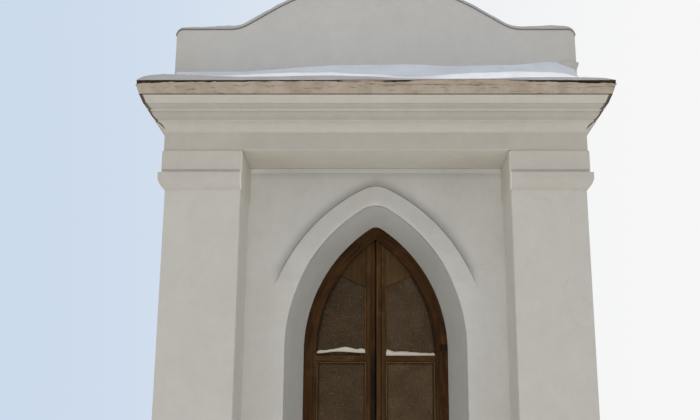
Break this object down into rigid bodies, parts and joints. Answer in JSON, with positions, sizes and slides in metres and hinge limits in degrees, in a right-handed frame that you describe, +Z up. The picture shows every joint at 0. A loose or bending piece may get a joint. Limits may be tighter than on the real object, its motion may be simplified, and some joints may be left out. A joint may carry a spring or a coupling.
{
  "type": "family mausoleum",
  "caption": "Small lime-plastered burial chapel with corner piers, a moulded cornice, curved gable parapets and pointed-arch double doors that open inwards.",
  "frame": {"origin": "on the ground, under the middle of the building", "axes": "+Z up, the doors look along -Y, +X to the right as seen from the front"},
  "size_m": [3.888, 4.388, 5.4999],
  "materials": {
    "lime_plaster": "matt limewash",
    "cornice_stone": "weathered, rough",
    "base_stone": "rough",
    "coping_sheet": "dull",
    "roof_sheet": "dull",
    "door_timber": "worn stain",
    "door_panel": "rough, weathered",
    "hinge_iron": "oiled, dull"
  },
  "bodies": {
    "mausoleum": {"arch_band": "lime_plaster", "back_wall": "lime_plaster", "base_slab": "base_stone", "capitals_back": "lime_plaster", "capitals_front": "lime_plaster", "ceiling": "lime_plaster", "copings": "coping_sheet", "cornice_slab": "cornice_stone", "door_sill": "base_stone", "entablature_back": "lime_plaster", "entablature_front": "lime_plaster", "entablature_left": "lime_plaster", "entablature_right": "lime_plaster", "frame_head_left": "door_timber", "frame_head_right": "door_timber", "frame_hinges": "hinge_iron", "frame_jambs": "door_timber", "front_wall_left": "lime_plaster", "front_wall_over_left": "lime_plaster", "front_wall_over_right": "lime_plaster", "front_wall_right": "lime_plaster", "left_wall": "lime_plaster", "parapet_back": "lime_plaster", "parapet_front": "lime_plaster", "pier_back_left": "lime_plaster", "pier_back_right": "lime_plaster", "pier_front_left": "lime_plaster", "pier_front_right": "lime_plaster", "ridge_cap": "roof_sheet", "right_wall": "lime_plaster", "roof_left": "roof_sheet", "roof_right": "roof_sheet"},
    "leaf_left": {"leaf_left_arch_rail": "door_timber", "leaf_left_head_board": "door_timber", "leaf_left_hinge_stile": "door_timber", "leaf_left_hinges": "hinge_iron", "leaf_left_knob": "hinge_iron", "leaf_left_meeting_stile": "door_timber", "leaf_left_panels": "door_panel", "leaf_left_rails": "door_timber"},
    "leaf_right": {"leaf_right_arch_rail": "door_timber", "leaf_right_head_board": "door_timber", "leaf_right_hinge_stile": "door_timber", "leaf_right_hinges": "hinge_iron", "leaf_right_knob": "hinge_iron", "leaf_right_meeting_stile": "door_timber", "leaf_right_panels": "door_panel", "leaf_right_rails": "door_timber"}
  },
  "joints": [
    {"name": "leaf_left_swing", "type": "hinge", "parent": "mausoleum", "child": "leaf_left", "pos_m": [-0.57145, -1.052, 1.4], "axis": [0, 0, 1], "range_deg": [0, 95]},
    {"name": "leaf_right_swing", "type": "hinge", "parent": "mausoleum", "child": "leaf_right", "pos_m": [0.57145, -1.052, 1.4], "axis": [0, 0, -1], "range_deg": [0, 95]}
  ]
}
